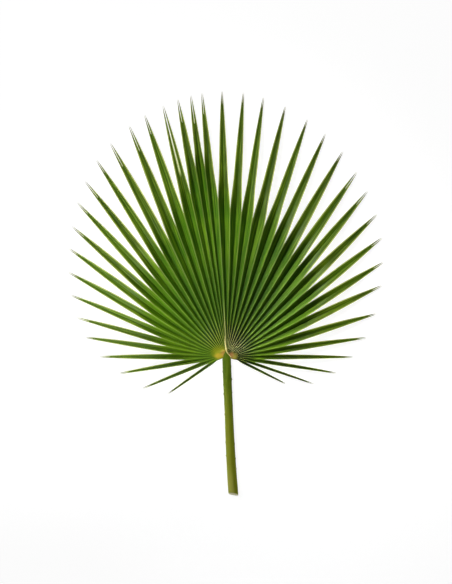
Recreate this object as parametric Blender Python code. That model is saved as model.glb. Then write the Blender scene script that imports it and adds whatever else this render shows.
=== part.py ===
"""Fan palm leaf, cut and lying face up: a pleated blade, its toothed petiole and a small hastula.

Metres, +Z up. The fan opens towards +Y and the petiole runs towards -Y. Plan positions are measured
from the hastula's foot, and the whole leaf is then placed with its origin under the middle of its box.
"""
import math
import random

import bmesh
import bpy
from mathutils import Vector

# The fan in plan. Angles are in degrees, counter-clockwise from +X, and distances start at the hastula
TIP_ANGLES = [
    -27.5, -19.6, -10.4, -1.9, 6.2, 14.6, 23.4, 30.0, 36.5, 42.6, 48.9, 54.2, 60.0,
    65.7, 70.9, 76.6, 81.8, 86.3, 91.0, 95.4, 97.9, 100.9, 104.4, 109.0, 113.2, 119.0,
    124.0, 129.5, 134.8, 140.7, 146.5, 153.0, 159.7, 166.8, 173.7, 181.8, 190.9, 203.0, 215.0,
]
REACH = [
    (-27.5, 0.102), (-19.6, 0.141), (-1.7, 0.194), (24, 0.257), (42.8, 0.309), (65.5, 0.362), (87, 0.394),
    (105, 0.385), (124.3, 0.350), (146.3, 0.285), (173.7, 0.216), (190.9, 0.167), (203, 0.140), (215, 0.110),
]
SPLIT = [
    (-28, 0.027), (-15, 0.044), (2.5, 0.072), (8.5, 0.087), (17, 0.098), (25, 0.128), (38, 0.150),
    (63, 0.184), (84, 0.212), (93, 0.230), (97, 0.285), (100, 0.278), (103, 0.240), (107, 0.218),
    (127, 0.162), (143, 0.139), (162, 0.103), (180, 0.077), (197, 0.042), (216, 0.027),
]
LOBE_HALF_WIDTH = 0.0205
LOBE_HALF_DEPTH = 0.0110
LOBE_CENTRE_Y = -0.0046
BOW = [
    (-28, 0.0), (0, -0.0009), (20, -0.0016), (50, -0.0015), (67, -0.0009), (82, -0.0012), (97, -0.0004),
    (112, 0.0020), (127, 0.0018), (142, 0.0023), (157, 0.0027), (172, 0.0010), (215, 0.0),
]
BOW_PEAK_SCALE = 256 / 27
NARROWING = [(-28, 0.06), (55, 0.06), (68, 0.22), (95, 0.22), (108, 0.10), (216, 0.08)]
NARROWING_RUN = 0.3
OUTER_SHARE_RIGHT, OUTER_SHARE_LEFT = 1.3, 0.6

# The fan in height
BLADE_THICKNESS = 0.0011
BASE_HEIGHT = 0.0076
ARCH_RISE = 0.0095
LONGEST_REACH = 0.394
REST_TIPS = (7, 18, 30)
TIP_LIFT = (0.0005, 0.0024)
FOLD_SLOPE = math.tan(math.radians(40))
FOLD_START_RIGHT, FOLD_RUN_RIGHT = 0.006, 0.016
FOLD_START_LEFT, FOLD_RUN_LEFT = 0.016, 0.045
FOLD_SIDES = (80.0, 110.0)

# Each segment's tip is split along its midrib, most deeply near the fan's middle
CHANCE_SEED = 5
TIP_SPLIT = [
    (-28, 0.010), (20, 0.018), (45, 0.032), (55, 0.032), (65, 0.016), (88, 0.019), (97, 0.040), (101, 0.050),
    (104.5, 0.092), (109, 0.045), (115, 0.040), (130, 0.030), (160, 0.020), (216, 0.012),
]
TIP_SPLIT_SPREAD = 0.25
TIP_GAP = 0.0034

# Rows along a segment
JOINED_ROWS = 8
FREE_ROWS = 10
BASE_CROWDING = 1.3

# The edge of the blade round the pointed head of the petiole, from its right end to its left end
HEAD_EDGE = [(0.0074, -0.0090), (-0.0012, 0.0029), (-0.0042, -0.0022), (-0.0055, -0.0078)]

# The petiole
CUT_Y = -0.2115
NECK_Y = -0.0105
HEAD_TIP = (-0.0012, 0.0018)
HEAD_RIGHT = [(-0.0090, 0.0067), (0.0018, -0.00095)]
HEAD_LEFT = [(-0.0090, -0.0050), (-0.0022, -0.0037), (0.0018, -0.00145)]
HEAD_TIP_WIDTH = 0.0005
TONGUE_Y = 0.0115
TONGUE_FLARE = 0.004
TONGUE_HALF_WIDTH = 0.0022
NECK_X = 0.0011
CUT_SHIFT_EVEN, CUT_SHIFT_CURVED = 0.0056, 0.0036
NECK_WIDTH, CUT_WIDTH = 0.0114, 0.0152
NECK_THICKNESS, CUT_THICKNESS = 0.0086, 0.0102
LEDGE_HEIGHT = 0.00615
LEDGE_LIP = 0.0006
HEAD_BEVEL = 0.0007
HEAD_ROWS = (-0.0090, -0.0062, -0.0040, -0.0022, 0.0, 0.0018, 0.0020, 0.0050, 0.0082, 0.0115)
STRIP_HALF_WIDTH = 0.0020
TONGUE_STRIP_HALF_WIDTH = 0.0009
TONGUE_RISE_START = -0.030
TONGUE_RISE = 0.0036
CUT_SLANT_ACROSS, CUT_SLANT_DOWN = 0.0014, 0.0026
STALK_ROWS = 22

# The petiole's rings, as shares of its half width and its thickness: each side, the toothed edge, the top
STALK_SIDE = [(0.66, 0.10), (0.92, 0.32)]
EDGE_LEVEL = 0.53
STALK_TOP = [
    (0.97, 0.69), (0.88, 0.81), (0.62, 0.91), (0.14, 1.0), (-0.52, 0.95), (-0.87, 0.82), (-0.97, 0.69),
]
HEAD_SIDE = [(0.66, 0.14), (0.92, 0.42), (1.0, 0.72)]
HEAD_LIP_WIDTH = 0.96

# The small teeth along the petiole's edges
TOOTH_SEED = 11
TOOTH_STARTS = (-0.020, -0.027)
TOOTH_PITCH = (0.014, 0.024)
TOOTH_HEIGHT = (0.0005, 0.0011)
TOOTH_FOOT, TOOTH_HOOK = 0.0022, 0.0005
TOOTH_CLEARANCE = 0.001

# The hastula: points along its crest with their half widths and heights
CREST = [
    (-0.0018, 0.0260, 0.00035, 0.0008),
    (-0.0021, 0.0190, 0.00055, 0.0012),
    (-0.0014, 0.0118, 0.00085, 0.0017),
    (-0.0003, 0.0062, 0.00110, 0.0020),
    (0.0009, 0.0010, 0.00060, 0.0017),
    (0.0038, -0.0026, 0.00050, 0.0013),
    (0.0069, -0.0062, 0.00040, 0.0009),
]
CREST_ROWS = 16
CREST_TOP_SHARE = 0.45
CREST_STEP = 0.05
CREST_ANGLE = 93.0
CREST_HALF_PLEAT = 2.4
SEAT_GAP = 0.0003

# Colours and roughness
GREEN, GREEN_ROUGHNESS = (0.105, 0.205, 0.018), 0.45
STALK_GREEN, STALK_ROUGHNESS = (0.135, 0.165, 0.010), 0.40
CREAM, CREAM_ROUGHNESS = (0.520, 0.480, 0.170), 0.55


def along(table, x):
    """The value at x of a smooth curve through a table of (x, value) points."""
    x = min(max(x, table[0][0]), table[-1][0])
    k = max(i for i in range(len(table) - 1) if table[i][0] <= x)
    (x0, y0), (x1, y1) = table[k], table[k + 1]

    def rise(i):
        before, after = table[max(i - 1, 0)], table[min(i + 1, len(table) - 1)]
        return (after[1] - before[1]) / (after[0] - before[0]) * (x1 - x0)

    t = (x - x0) / (x1 - x0)
    start = (1 + 2 * t) * (1 - t) ** 2 * y0 + t * (1 - t) ** 2 * rise(k)
    end = t * t * (3 - 2 * t) * y1 + t * t * (t - 1) * rise(k + 1)
    return start + end


def ease(t):
    """A smooth step from 0 to 1."""
    t = min(max(t, 0.0), 1.0)
    return t * t * (3 - 2 * t)


def polar(angle, distance):
    return Vector((math.cos(math.radians(angle)), math.sin(math.radians(angle)))) * distance


def base_point(angle):
    """Where the line at an angle leaves the lobes at the foot of the fan."""
    c, s = math.cos(math.radians(angle)), math.sin(math.radians(angle))
    return Vector((LOBE_HALF_WIDTH * c * math.sqrt(abs(c)), LOBE_CENTRE_Y + LOBE_HALF_DEPTH * s))


def fold_slope(angle, distance):
    """How steep the pleats are: they fade out near the hastula, sooner on the left than on the right."""
    left = ease((angle - FOLD_SIDES[0]) / (FOLD_SIDES[1] - FOLD_SIDES[0]))
    start = FOLD_START_RIGHT + (FOLD_START_LEFT - FOLD_START_RIGHT) * left
    run = FOLD_RUN_RIGHT + (FOLD_RUN_LEFT - FOLD_RUN_RIGHT) * left
    return FOLD_SLOPE * ease((distance - start) / run)


class Line:
    """A midrib, or the ridge between two midribs, from the lobes to the fan's rim."""

    def __init__(self, angle, tip_lift):
        self.angle = angle
        self.tip_lift = tip_lift
        self.reach = along(REACH, angle)
        self.foot = base_point(angle)
        self.tip = polar(angle, self.reach)
        self.run = (self.tip - self.foot).length
        self.bow = along(BOW, angle)
        self.across = Vector((self.foot.y - self.tip.y, self.tip.x - self.foot.x)).normalized()
        near = self.foot.length
        self.split = (along(SPLIT, angle) - near) / (self.reach - near)

    def plan(self, s):
        return self.foot.lerp(self.tip, s) + self.across * self.bow * BOW_PEAK_SCALE * s * (1 - s) ** 3

    def height(self, s):
        """The pleats' mean height: from the lobes over a low arch and down to the tip."""
        level = BASE_HEIGHT + (BLADE_THICKNESS + self.tip_lift - BASE_HEIGHT) * ease(s)
        return level + ARCH_RISE * self.reach / LONGEST_REACH * math.sin(math.pi * s)

    def slope(self, s):
        return fold_slope(self.angle, self.plan(s).length)


def ridge_beside(i, side):
    """The ridge left (side 1) or right (side -1) of midrib i; none outside the two outermost segments."""
    j = i if side > 0 else i - 1
    return ridges[j] if 0 <= j < len(ridges) else None


def split_beside(i, side):
    return (ridge_beside(i, side) or ridge_beside(i, -side)).split


def offset(i, side, s):
    """Plan offset from midrib i to its margin: along the ridge while joined, then narrowing to the tip."""
    ridge, rib = ridge_beside(i, side), ribs[i]
    if ridge is None:
        return -offset(i, -side, s) * (OUTER_SHARE_LEFT if side > 0 else OUTER_SHARE_RIGHT)
    joined = min(s, ridge.split)
    free = max(0.0, (s - ridge.split) / (1 - ridge.split))
    narrowed = 1 - along(NARROWING, rib.angle) * ease(free / NARROWING_RUN)
    return (ridge.plan(joined) - rib.plan(joined)) * (1 - free ** 2) * narrowed


def point(plan, height):
    return Vector((plan.x, plan.y, height))


def rib_rows(i):
    """Points along midrib i, in the valley of its pleat, as far as the notch of its split tip."""
    rib = ribs[i]
    split = (split_beside(i, 1) + split_beside(i, -1)) / 2
    notch = 1 - notches[i] / rib.run
    rows = [split * (k / JOINED_ROWS) ** BASE_CROWDING for k in range(JOINED_ROWS)]
    rows += [split + (notch - split) * k / (FREE_ROWS - 1) for k in range(FREE_ROWS)]
    points = []
    for s in rows:
        half_width = (offset(i, 1, s).length + offset(i, -1, s).length) / 2
        points.append(point(rib.plan(s), rib.height(s) - rib.slope(s) * half_width / 2))
    return points


def joined_rows(i, side):
    """Points along the joined stretch of a margin: a ridge, or the fan's own edge as far out."""
    line = ridge_beside(i, side) or ribs[i]
    points = []
    for k in range(JOINED_ROWS + 1):
        s = split_beside(i, side) * (k / JOINED_ROWS) ** BASE_CROWDING
        out = offset(i, side, s)
        points.append(point(ribs[i].plan(s) + out, line.height(s) + line.slope(s) * out.length / 2))
    return points


def free_rows(i, side):
    """Points along the free stretch of a margin, from just past its split to one point of the tip."""
    rib = ribs[i]
    split = split_beside(i, side)
    points = []
    for k in range(1, FREE_ROWS + 1):
        free = k / FREE_ROWS
        s = split + (1 - split) * free
        out = offset(i, side, s)
        plan = rib.plan(s) + out + rib.across * side * TIP_GAP / 2 * free
        points.append(point(plan, rib.height(s) + rib.slope(s) * out.length / 2))
    return points


def head_edge(count):
    """Evenly spaced points along the blade's edge round the head of the petiole."""
    corners = [Vector(corner) for corner in HEAD_EDGE]
    lengths = [(b - a).length for a, b in zip(corners, corners[1:])]
    points = []
    for k in range(count):
        distance = sum(lengths) * k / (count - 1)
        leg = 0
        while leg < len(lengths) - 1 and distance > lengths[leg]:
            distance -= lengths[leg]
            leg += 1
        plan = corners[leg].lerp(corners[leg + 1], min(distance / lengths[leg], 1.0))
        points.append(point(plan, BASE_HEIGHT))
    return points


def add_strip(mesh, first, second):
    """Triangles between two rows of vertices; the first row may be one vertex shorter."""
    for k in range(len(second) - 1):
        mesh.faces.new((first[k], second[k], second[k + 1]))
        if k + 1 < len(first):
            mesh.faces.new((first[k], second[k + 1], first[k + 1]))


def make_object(name, mesh, color, roughness):
    """Triangulate, face outwards and link one finished solid with its own material."""
    bmesh.ops.triangulate(mesh, faces=[f for f in mesh.faces if len(f.verts) > 3])
    bmesh.ops.recalc_face_normals(mesh, faces=mesh.faces)
    data = bpy.data.meshes.new(name)
    mesh.to_mesh(data)
    mesh.free()
    material = bpy.data.materials.new(name)
    material.use_nodes = True
    shader = material.node_tree.nodes["Principled BSDF"]
    shader.inputs["Base Color"].default_value = (*color, 1)
    shader.inputs["Roughness"].default_value = roughness
    data.materials.append(material)
    obj = bpy.data.objects.new(name, data)
    bpy.context.scene.collection.objects.link(obj)
    return obj


def make_blade():
    """The fan as one pleated sheet, extruded straight down to its thickness."""
    mesh = bmesh.new()

    def add(points):
        return [mesh.verts.new(p) for p in points]

    on_right = add(joined_rows(0, -1))
    base_row = [on_right[0]]
    for i in range(len(ribs)):
        rib = add(rib_rows(i))
        on_left = add(joined_rows(i, 1))
        add_strip(mesh, rib, on_right + add(free_rows(i, -1)))
        add_strip(mesh, rib, on_left + add(free_rows(i, 1)))
        base_row += [rib[0], on_left[0]]
        on_right = on_left
    add_strip(mesh, add(head_edge(len(base_row))), base_row)

    lower = bmesh.ops.extrude_face_region(mesh, geom=mesh.faces[:])["geom"]
    down = Vector((0, 0, -BLADE_THICKNESS))
    bmesh.ops.translate(mesh, verts=[v for v in lower if isinstance(v, bmesh.types.BMVert)], vec=down)
    return make_object("blade", mesh, GREEN, GREEN_ROUGHNESS)


def stalk_centre(y):
    u = max(0.0, (NECK_Y - y) / (NECK_Y - CUT_Y))
    return NECK_X + CUT_SHIFT_EVEN * u + CUT_SHIFT_CURVED * u ** 3


def stalk_section(y, tooth_right, tooth_left):
    """One ring of the petiole below the blade, counter-clockwise from the left of its flat strip."""
    u = (NECK_Y - y) / (NECK_Y - CUT_Y)
    centre = stalk_centre(y)
    half = (NECK_WIDTH + (CUT_WIDTH - NECK_WIDTH) * u) / 2
    thick = NECK_THICKNESS + (CUT_THICKNESS - NECK_THICKNESS) * u
    low = TONGUE_RISE * ease((y - TONGUE_RISE_START) / (TONGUE_Y - TONGUE_RISE_START))
    outline = [(-STRIP_HALF_WIDTH, 0.0), (STRIP_HALF_WIDTH, 0.0)]
    outline += [(half * share, level) for share, level in STALK_SIDE]
    outline += [(half + tooth_right, EDGE_LEVEL)]
    outline += [(half * share, level) for share, level in STALK_TOP]
    outline += [(-half - tooth_left, EDGE_LEVEL)]
    outline += [(-half * share, level) for share, level in reversed(STALK_SIDE)]
    ring = []
    for x, level in outline:
        slant = 0.0
        if y == CUT_Y:
            slant = CUT_SLANT_ACROSS * x / half + CUT_SLANT_DOWN * (1 - level)
        ring.append(Vector((centre + x, y - slant, low + (thick - low) * level)))
    return ring


def head_section(y):
    """One ring of the petiole's end: a pointed head on a ledge, and past its tip only a low tongue."""
    t = ease((y - NECK_Y) / (TONGUE_Y - NECK_Y))
    centre = NECK_X * (1 - t)
    half = NECK_WIDTH / 2 * (1 - t) + TONGUE_HALF_WIDTH * t
    low = TONGUE_RISE * ease((y - TONGUE_RISE_START) / (TONGUE_Y - TONGUE_RISE_START))
    strip = STRIP_HALF_WIDTH * (1 - t) + TONGUE_STRIP_HALF_WIDTH * t

    def body(x, level):
        return Vector((centre + x, y, low + (LEDGE_HEIGHT - low) * level))

    sides = HEAD_SIDE + [(HEAD_LIP_WIDTH, 1 - LEDGE_LIP / (LEDGE_HEIGHT - low))]
    right_side = [body(half * share, level) for share, level in sides]
    left_side = [body(-half * share, level) for share, level in reversed(sides)]
    if y <= HEAD_TIP[1]:
        right, left = along(HEAD_RIGHT, y), along(HEAD_LEFT, y)
        middle = (right + left) / 2
        shoulder = NECK_THICKNESS - HEAD_BEVEL
        profile = [(right, LEDGE_HEIGHT), (right, shoulder), (middle, NECK_THICKNESS)]
        profile += [(left, shoulder), (left, LEDGE_HEIGHT)]
        head = [Vector((x, y, z)) for x, z in profile]
    else:
        flare = ease((y - HEAD_TIP[1]) / TONGUE_FLARE)
        spread = HEAD_TIP_WIDTH / 4 + half / 4 * flare
        shift = (HEAD_TIP[0] - centre) * (1 - flare)
        head = [body(shift + spread * k, 1.0) for k in (2, 1, 0, -1, -2)]
    return [body(-strip, 0.0), body(strip, 0.0)] + right_side + head + left_side


def tooth_places():
    """Where the marginal teeth stand: (y, height) pairs for the right edge and for the left edge."""
    draw = random.Random(TOOTH_SEED)
    sides = []
    for y in TOOTH_STARTS:
        teeth = []
        while y > CUT_Y + TOOTH_PITCH[1]:
            teeth.append((y, draw.uniform(*TOOTH_HEIGHT)))
            y -= draw.uniform(*TOOTH_PITCH)
        sides.append(teeth)
    return sides


def make_petiole():
    """The stalk, lofted from its slanted cut end up to the tongue under the blade."""
    right_teeth, left_teeth = tooth_places()
    rows = {CUT_Y + (NECK_Y - CUT_Y) * k / STALK_ROWS: (0.0, 0.0) for k in range(STALK_ROWS + 1)}
    for teeth, pick in ((right_teeth, (1, 0)), (left_teeth, (0, 1))):
        for y, height in teeth:
            lowest, highest = y - TOOTH_FOOT - TOOTH_CLEARANCE, y + TOOTH_HOOK + TOOTH_CLEARANCE
            for row in [r for r in rows if lowest < r < highest and rows[r] == (0.0, 0.0)]:
                del rows[row]
            rows[y - TOOTH_FOOT] = (0.0, 0.0)
            rows[y] = (height * pick[0], height * pick[1])
            rows[y + TOOTH_HOOK] = (0.0, 0.0)
    rings = [stalk_section(y, *rows[y]) for y in sorted(rows)]
    rings += [head_section(y) for y in HEAD_ROWS]

    mesh = bmesh.new()
    verts = [[mesh.verts.new(p) for p in ring] for ring in rings]
    count = len(verts[0])
    for lower, upper in zip(verts, verts[1:]):
        for k in range(count):
            n = (k + 1) % count
            mesh.faces.new((lower[k], lower[n], upper[n], upper[k]))
    mesh.faces.new(verts[0])
    mesh.faces.new(verts[-1])
    return make_object("petiole", mesh, STALK_GREEN, STALK_ROUGHNESS)


def make_hastula():
    """The pale crest that stands on the foot of the blade, just clear of its pleats."""
    guide = Line(CREST_ANGLE, 0.0)
    end = len(CREST) - 1
    columns = [[(k, values[c]) for k, values in enumerate(CREST)] for c in range(4)]
    mesh = bmesh.new()
    rings = []
    for row in range(CREST_ROWS + 1):
        t = end * row / CREST_ROWS
        x, y, half, tall = (along(column, t) for column in columns)
        behind, ahead = t - CREST_STEP, t + CREST_STEP
        heading = Vector([along(c, ahead) - along(c, behind) for c in columns[:2]]).normalized()
        side = Vector((-heading.y, heading.x))
        s = max(0.0, (y - guide.foot.y) / guide.run)
        pleat = FOLD_SLOPE * abs(y) * math.tan(math.radians(CREST_HALF_PLEAT)) / 2
        seat = guide.height(s) + SEAT_GAP + pleat
        ring = []
        for share, height in ((-1, 0), (1, 0), (CREST_TOP_SHARE, tall), (-CREST_TOP_SHARE, tall)):
            plan = Vector((x, y)) + side * half * share
            ring.append(mesh.verts.new(point(plan, seat + height)))
        rings.append(ring)
    for lower, upper in zip(rings, rings[1:]):
        for k in range(4):
            n = (k + 1) % 4
            mesh.faces.new((lower[k], lower[n], upper[n], upper[k]))
    mesh.faces.new(rings[0])
    mesh.faces.new(rings[-1])
    return make_object("hastula", mesh, CREAM, CREAM_ROUGHNESS)


for old in list(bpy.data.objects):
    bpy.data.objects.remove(old, do_unlink=True)

chance = random.Random(CHANCE_SEED)
lifts = [0.0 if i in REST_TIPS else chance.uniform(*TIP_LIFT) for i in range(len(TIP_ANGLES))]
ribs = [Line(angle, lift) for angle, lift in zip(TIP_ANGLES, lifts)]
ridges = [Line((a.angle + b.angle) / 2, (a.tip_lift + b.tip_lift) / 2) for a, b in zip(ribs, ribs[1:])]
notches = [along(TIP_SPLIT, rib.angle) * (1 + chance.uniform(-1, 1) * TIP_SPLIT_SPREAD) for rib in ribs]

leaf = [make_blade(), make_petiole(), make_hastula()]
corners = [v.co for obj in leaf for v in obj.data.vertices]
middle_x = (min(c.x for c in corners) + max(c.x for c in corners)) / 2
middle_y = (min(c.y for c in corners) + max(c.y for c in corners)) / 2
for obj in leaf:
    obj.location = (-middle_x, -middle_y, 0)
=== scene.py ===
import math
import random

import bpy
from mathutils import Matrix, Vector


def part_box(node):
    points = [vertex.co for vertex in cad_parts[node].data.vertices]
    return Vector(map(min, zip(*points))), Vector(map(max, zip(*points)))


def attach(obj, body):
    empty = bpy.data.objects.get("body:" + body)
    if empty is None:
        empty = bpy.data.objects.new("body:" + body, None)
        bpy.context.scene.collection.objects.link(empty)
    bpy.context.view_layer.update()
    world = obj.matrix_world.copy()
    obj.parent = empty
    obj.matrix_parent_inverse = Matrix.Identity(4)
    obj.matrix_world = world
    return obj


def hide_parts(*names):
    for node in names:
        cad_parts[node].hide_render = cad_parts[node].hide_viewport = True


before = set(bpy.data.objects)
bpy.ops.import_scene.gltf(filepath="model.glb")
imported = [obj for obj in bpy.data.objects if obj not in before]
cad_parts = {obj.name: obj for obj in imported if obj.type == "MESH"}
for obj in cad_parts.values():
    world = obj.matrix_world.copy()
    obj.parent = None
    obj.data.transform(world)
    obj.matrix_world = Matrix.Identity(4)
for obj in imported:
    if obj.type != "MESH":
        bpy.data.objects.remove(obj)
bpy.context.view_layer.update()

# Blade
# The pleated fan is one living sheet, folded like a paper fan: 39 narrow segments, each a trough with its
# midrib in the valley, joined along sharp ridges near the stalk and free towards their split tips. One trough
# is modelled flat, copied for each segment, laid on the fan's lines, welded to its neighbours and given its
# thickness. Angles are in degrees round the foot of the crest, from right to left, and lengths in metres.

# The tips' directions, how far they reach, how far out neighbours come free, and the slits in the tips
TIP_ANGLES = [
    -27.5, -19.6, -10.4, -1.9, 6.2, 14.6, 23.4, 30.0, 36.5, 42.6, 48.9, 54.2, 60.0,
    65.7, 70.9, 76.6, 81.8, 86.3, 91.0, 95.4, 97.9, 100.9, 104.4, 109.0, 113.2, 119.0,
    124.0, 129.5, 134.8, 140.7, 146.5, 153.0, 159.7, 166.8, 173.7, 181.8, 190.9, 203.0, 215.0,
]
REACH = [
    (-27.5, 0.102), (-19.6, 0.141), (-1.7, 0.194), (24, 0.257), (42.8, 0.309), (65.5, 0.362), (87, 0.394),
    (105, 0.385), (124.3, 0.350), (146.3, 0.285), (173.7, 0.216), (190.9, 0.167), (203, 0.140), (215, 0.110),
]
LONGEST_REACH = 0.394
SPLIT = [
    (-28, 0.027), (-15, 0.044), (2.5, 0.072), (8.5, 0.087), (17, 0.098), (25, 0.128), (38, 0.150),
    (63, 0.184), (84, 0.212), (93, 0.230), (97, 0.285), (100, 0.278), (103, 0.240), (107, 0.218),
    (127, 0.162), (143, 0.139), (162, 0.103), (180, 0.077), (197, 0.042), (216, 0.027),
]
TIP_SPLIT = [
    (-28, 0.010), (20, 0.018), (45, 0.032), (55, 0.032), (65, 0.016), (88, 0.019), (97, 0.040), (101, 0.050),
    (104.5, 0.092), (109, 0.045), (115, 0.040), (130, 0.030), (160, 0.020), (216, 0.012),
]
TIP_SPLIT_SPREAD = 0.25
TIP_GAP, FINE_TIP_GAP = 0.0034, 0.0015

# How a segment narrows once it is free, and how wide the two outermost margins are for the inner ones
NARROWING = [(-28, 0.06), (55, 0.06), (68, 0.22), (95, 0.22), (108, 0.10), (216, 0.08)]
NARROWING_RUN = 0.3
OUTER_SHARE_RIGHT, OUTER_SHARE_LEFT = 1.3, 0.6

# The oval at the stalk that the lines start from, their bow, and their heights: three tips rest on the ground
LOBE_HALF_WIDTH = 0.0205
LOBE_HALF_DEPTH = 0.0110
LOBE_CENTRE_Y = -0.0046
BOW = [
    (-28, 0.0), (0, -0.0009), (20, -0.0016), (50, -0.0015), (67, -0.0009), (82, -0.0012), (97, -0.0004),
    (112, 0.0020), (127, 0.0018), (142, 0.0023), (157, 0.0027), (172, 0.0010), (215, 0.0),
]
BOW_PEAK_SCALE = 256 / 27
BASE_HEIGHT = 0.0076
ARCH_RISE = 0.0095
SOLID_THICKNESS = 0.0011
REST_TIPS = (7, 18, 30)
TIP_LIFT = (0.0005, 0.0024)
CHANCE_SEED = 5

# The folds, 40 degrees steep, how they begin on either side, and how they open past where segments are free
FOLD_SLOPE = math.tan(math.radians(40))
FOLD_START_RIGHT, FOLD_RUN_RIGHT = 0.006, 0.016
FOLD_START_LEFT, FOLD_RUN_LEFT = 0.016, 0.045
FOLD_SIDES = (80.0, 110.0)
FREE_FLATTENING, FLATTENING_RUN = 0.8, 0.35

# The grid of one trough, closer towards midrib, margins and stalk
FLANK_COLUMNS = 8
EVEN_COLUMNS = 0.55
JOINED_ROWS, WHOLE_ROWS, PRONG_ROWS = 26, 20, 9
SEGMENT_ROWS = JOINED_ROWS + WHOLE_ROWS + PRONG_ROWS
BASE_CROWDING = 1.3
GRID_TOLERANCE = 0.0001

# Bulging flanks, folds that grew unevenly deep, and the thickness at the margins and along the midribs
FLANK_BULGE = 0.10
GROWTH_SEED = 23
GROWN_FOLD = (0.86, 1.1)
MARGIN_THICKNESS = 0.00055
KEEL = 0.0005
KEEL_SHARE = 0.3
KEEL_START_RUN = 0.1
KEEL_END, KEEL_END_RUN = 0.6, 0.4
WELD_GAP = 0.00001
LEAF_SHARP_EDGE = 40


def along(table, x):
    """The value at x of a smooth curve through a table of (x, value) points."""
    x = min(max(x, table[0][0]), table[-1][0])
    k = max(i for i in range(len(table) - 1) if table[i][0] <= x)
    (x0, y0), (x1, y1) = table[k], table[k + 1]

    def rise(i):
        before, after = table[max(i - 1, 0)], table[min(i + 1, len(table) - 1)]
        return (after[1] - before[1]) / (after[0] - before[0]) * (x1 - x0)

    t = (x - x0) / (x1 - x0)
    start = (1 + 2 * t) * (1 - t) ** 2 * y0 + t * (1 - t) ** 2 * rise(k)
    end = t * t * (3 - 2 * t) * y1 + t * t * (t - 1) * rise(k + 1)
    return start + end


def ease(t):
    """A smooth step from 0 to 1."""
    t = min(max(t, 0.0), 1.0)
    return t * t * (3 - 2 * t)


def fold_slope(angle, distance):
    """How steep the pleats are: they fade out near the stalk, sooner on the left than on the right."""
    left = ease((angle - FOLD_SIDES[0]) / (FOLD_SIDES[1] - FOLD_SIDES[0]))
    start = FOLD_START_RIGHT + (FOLD_START_LEFT - FOLD_START_RIGHT) * left
    run = FOLD_RUN_RIGHT + (FOLD_RUN_LEFT - FOLD_RUN_RIGHT) * left
    return FOLD_SLOPE * ease((distance - start) / run)


class FanLine:
    """A midrib, or the ridge between two midribs, from the lobes at the stalk to the fan's rim."""

    def __init__(self, angle, tip_lift):
        c, s = math.cos(math.radians(angle)), math.sin(math.radians(angle))
        self.angle = angle
        self.tip_lift = tip_lift
        self.reach = along(REACH, angle)
        self.foot = Vector((LOBE_HALF_WIDTH * c * math.sqrt(abs(c)), LOBE_CENTRE_Y + LOBE_HALF_DEPTH * s))
        self.tip = Vector((c, s)) * self.reach
        self.run = (self.tip - self.foot).length
        self.bow = along(BOW, angle)
        self.across = Vector((self.foot.y - self.tip.y, self.tip.x - self.foot.x)).normalized()
        self.split = (along(SPLIT, angle) - self.foot.length) / (self.reach - self.foot.length)

    def plan(self, s):
        """The line seen from above, at a share s of its way. It bows most a quarter of the way out."""
        straight = self.foot.lerp(self.tip, s)
        return straight + self.across * self.bow * BOW_PEAK_SCALE * s * (1 - s) ** 3

    def height(self, s):
        """The fan's height there, before it is folded: a low arch from the stalk down to the tip."""
        level = BASE_HEIGHT + (SOLID_THICKNESS + self.tip_lift - BASE_HEIGHT) * ease(s)
        return level + ARCH_RISE * self.reach / LONGEST_REACH * math.sin(math.pi * s)

    def slope(self, s):
        """How steep the pleats are there."""
        return fold_slope(self.angle, self.plan(s).length)


chance = random.Random(CHANCE_SEED)
lifts = [0.0 if i in REST_TIPS else chance.uniform(*TIP_LIFT) for i in range(len(TIP_ANGLES))]
ribs = [FanLine(angle, lift) for angle, lift in zip(TIP_ANGLES, lifts)]
ridges = [FanLine((a.angle + b.angle) / 2, (a.tip_lift + b.tip_lift) / 2) for a, b in zip(ribs, ribs[1:])]
slit_spread = [1 + chance.uniform(-1, 1) * TIP_SPLIT_SPREAD for rib in ribs]
slit_lengths = [along(TIP_SPLIT, rib.angle) * spread for rib, spread in zip(ribs, slit_spread)]

# All places so far are measured from the foot of the crest, and the solid blade's box says where that is
prong_tips = [rib.tip + rib.across * side * TIP_GAP / 2 for rib in ribs for side in (-1, 1)]
blade_low, blade_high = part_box("blade")
hub_x = blade_low.x - min(tip.x for tip in prong_tips)
hub_y = blade_high.y - max(tip.y for tip in prong_tips)
hub = Vector((hub_x, hub_y, 0))


def ridge_beside(i, side):
    """The ridge left (side 1) or right (side -1) of midrib i; none outside the two outermost segments."""
    j = i if side > 0 else i - 1
    return ridges[j] if 0 <= j < len(ridges) else None


def split_beside(i, side):
    """Where segment i comes free on that side. An outermost margin does so where its inner one does."""
    return (ridge_beside(i, side) or ridge_beside(i, -side)).split


def outward(i, s):
    """How far out a point of segment i is: below 0 while joined, 0 where it comes free, 1 at its tip."""
    split = sum(split_beside(i, side) for side in (-1, 1)) / 2
    return (s - split) / (1 - split)


def kept_fold(free):
    """The share of its fold that a segment keeps: it opens flatter from where it comes free (0) outwards."""
    return 1 - FREE_FLATTENING * ease(free / FLATTENING_RUN)


def offset(i, side, s):
    """Plan offset from midrib i to its margin: along the ridge while joined, then narrowing to the tip."""
    ridge, rib = ridge_beside(i, side), ribs[i]
    if ridge is None:
        return -offset(i, -side, s) * (OUTER_SHARE_LEFT if side > 0 else OUTER_SHARE_RIGHT)
    joined = min(s, ridge.split)
    free = max(0.0, (s - ridge.split) / (1 - ridge.split))
    narrowed = 1 - along(NARROWING, rib.angle) * ease(free / NARROWING_RUN)
    return (ridge.plan(joined) - rib.plan(joined)) * (1 - free ** 2) * narrowed


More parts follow.
